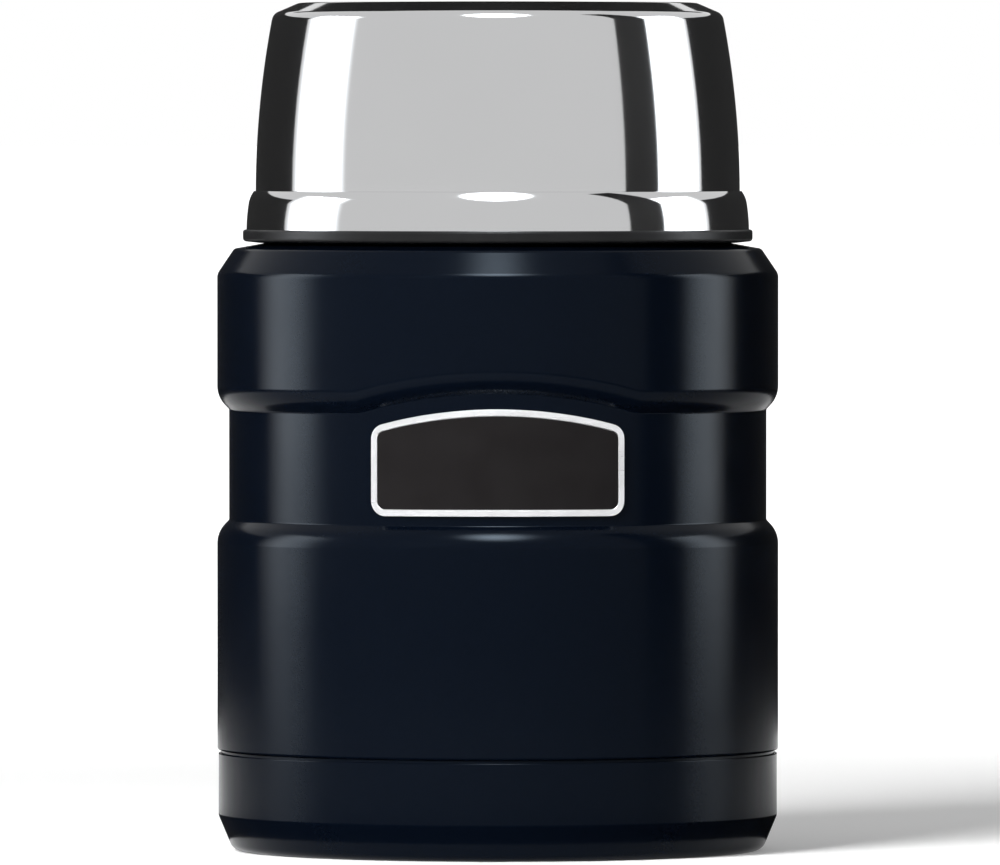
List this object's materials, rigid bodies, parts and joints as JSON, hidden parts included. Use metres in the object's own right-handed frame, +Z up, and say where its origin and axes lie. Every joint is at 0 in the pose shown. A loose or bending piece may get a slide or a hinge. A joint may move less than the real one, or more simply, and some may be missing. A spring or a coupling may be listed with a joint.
{
  "type": "insulated food jar",
  "caption": "Round vacuum-insulated food jar with a screw stopper and a double-walled screw lid that doubles as a bowl.",
  "frame": {"origin": "middle of the ring that the jar stands on", "axes": "+Z up along the jar's axis, -Y out of the badge, +X to the right of someone who faces the badge"},
  "size_m": [0.094, 0.094, 0.142],
  "materials": {
    "painted_steel": "gloss paint",
    "vessel_steel": "brushed",
    "polished_steel": "polished",
    "solder": "cast",
    "foil": "bright foil",
    "getter_metal": "sintered",
    "clip_steel": "plain",
    "badge_silver": "satin",
    "badge_enamel": "satin enamel",
    "adhesive": "matt film",
    "black_plastic": "matt",
    "foam": "foam",
    "silicone": "soft matt"
  },
  "bodies": {
    "jar": {"outer_shell": "painted_steel", "inner_vessel": "vessel_steel", "base_disc": "vessel_steel", "vacuum_seal_bead": "solder", "base_cup": "painted_steel", "radiation_foil": "foil", "getter": "getter_metal", "getter_clip": "clip_steel", "badge_plate": "badge_silver", "badge_inlay": "badge_enamel", "badge_adhesive": "adhesive"},
    "stopper_ring": {"stopper_seal": "silicone"},
    "stopper": {"stopper_plug": "black_plastic", "stopper_foam": "foam", "stopper_cap": "black_plastic"},
    "bowl_ring": {"liner_gasket": "silicone"},
    "bowl": {"bowl_outer_shell": "polished_steel", "bowl_collar": "black_plastic", "bowl_inner_liner": "vessel_steel"}
  },
  "joints": [
    {"name": "stopper_rise", "type": "slide", "parent": "jar", "child": "stopper_ring", "axis": [0, 0, 1], "range_m": [0, 0.04]},
    {"name": "stopper_turn", "type": "hinge", "parent": "stopper_ring", "child": "stopper", "pos_m": [0, 0, 0.12], "axis": [0, 0, 1], "range_deg": [0, 1800]},
    {"name": "bowl_rise", "type": "slide", "parent": "stopper", "child": "bowl_ring", "axis": [0, 0, 1], "range_m": [0, 0.04]},
    {"name": "bowl_turn", "type": "hinge", "parent": "bowl_ring", "child": "bowl", "pos_m": [0, 0, 0.12], "axis": [0, 0, 1], "range_deg": [0, 1800]}
  ],
  "couplings": [
    {"joint": "stopper_rise", "follows": "stopper_turn", "m_per_rad": 0.0012732},
    {"joint": "bowl_rise", "follows": "bowl_turn", "m_per_rad": 0.0012732}
  ]
}
